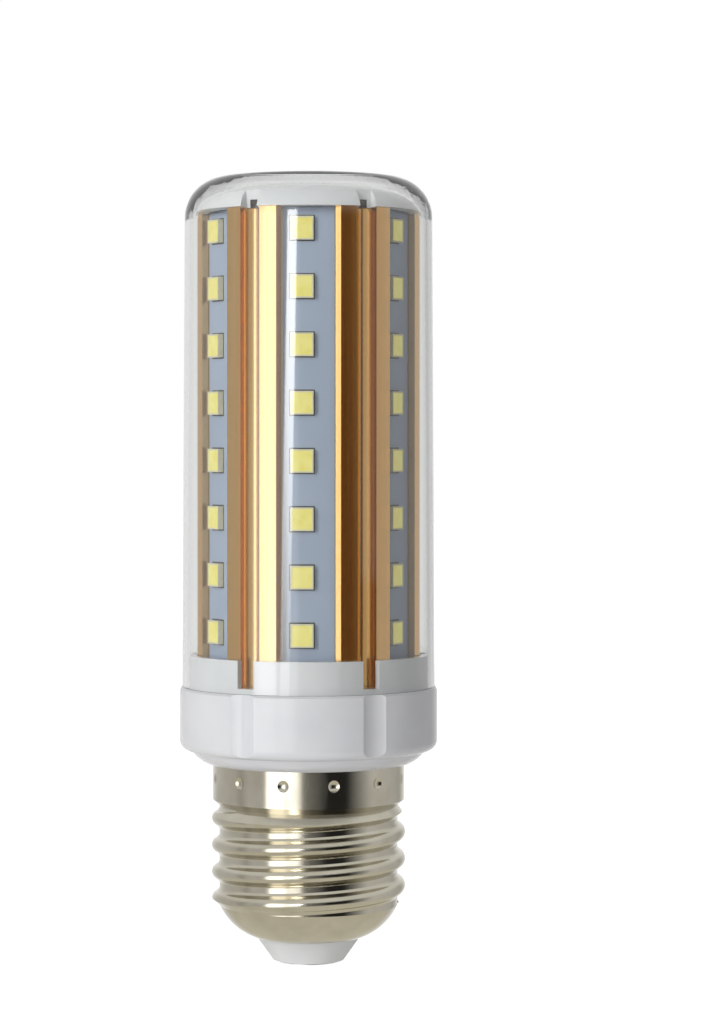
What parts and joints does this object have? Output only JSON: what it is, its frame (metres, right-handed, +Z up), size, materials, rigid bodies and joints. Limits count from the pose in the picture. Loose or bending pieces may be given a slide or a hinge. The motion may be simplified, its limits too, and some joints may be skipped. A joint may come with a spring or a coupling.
{
  "type": "corn led bulb",
  "caption": "Cylindrical LED lamp with upright rows of LEDs round a gold column, under a clear domed tube, with a white housing and an E27 screw cap.",
  "frame": {"origin": "foot of the centre contact, on the lamp's axis, at the lamp's lowest point", "axes": "+Z up the lamp's axis from the screw cap to the domed end, -Y the front, where the first LED board faces, +X to the right of that view"},
  "size_m": [0.0348, 0.035, 0.107],
  "materials": {
    "clear_polycarbonate": "glossy",
    "white_plastic": "satin",
    "gold_anodised_aluminium": "satin",
    "white_solder_mask": "matte",
    "led_frame": "matte",
    "led_phosphor": "satin",
    "nickel_plate": "satin",
    "white_insulator": "glossy",
    "tin_lead_contact": "satin",
    "driver_laminate": "satin",
    "film_capacitor_case": "glossy",
    "chip_epoxy": "matte",
    "resistor_lacquer": "glossy",
    "can_sleeve": "glossy",
    "choke_ferrite": "matte",
    "zinc_plated_steel": "satin",
    "red_wire_cover": "satin",
    "blue_wire_cover": "satin",
    "black_wire_cover": "satin"
  },
  "bodies": {
    "root": {"bridge_rectifier": "chip_epoxy", "cap_insulator": "white_insulator", "centre_contact": "tin_lead_contact", "choke": "choke_ferrite", "column_screws": "zinc_plated_steel", "driver_board": "driver_laminate", "driver_controller": "chip_epoxy", "film_capacitor": "film_capacitor_case", "fuse_resistor": "resistor_lacquer", "heat_sink_column": "gold_anodised_aluminium", "housing": "white_plastic", "led_board_1": "white_solder_mask", "led_board_2": "white_solder_mask", "led_board_3": "white_solder_mask", "led_board_4": "white_solder_mask", "led_board_5": "white_solder_mask", "led_board_6": "white_solder_mask", "led_row_1": "led_frame", "led_row_2": "led_frame", "led_row_3": "led_frame", "led_row_4": "led_frame", "led_row_5": "led_frame", "led_row_6": "led_frame", "led_wire_negative": "black_wire_cover", "led_wire_positive": "red_wire_cover", "link_board": "white_solder_mask", "live_wire": "red_wire_cover", "neutral_wire": "blue_wire_cover", "phosphor_row_1": "led_phosphor", "phosphor_row_2": "led_phosphor", "phosphor_row_3": "led_phosphor", "phosphor_row_4": "led_phosphor", "phosphor_row_5": "led_phosphor", "phosphor_row_6": "led_phosphor", "screw_shell": "nickel_plate", "smoothing_capacitor": "can_sleeve", "top_cap": "white_plastic", "tube_cover": "clear_polycarbonate"}
  },
  "joints": []
}
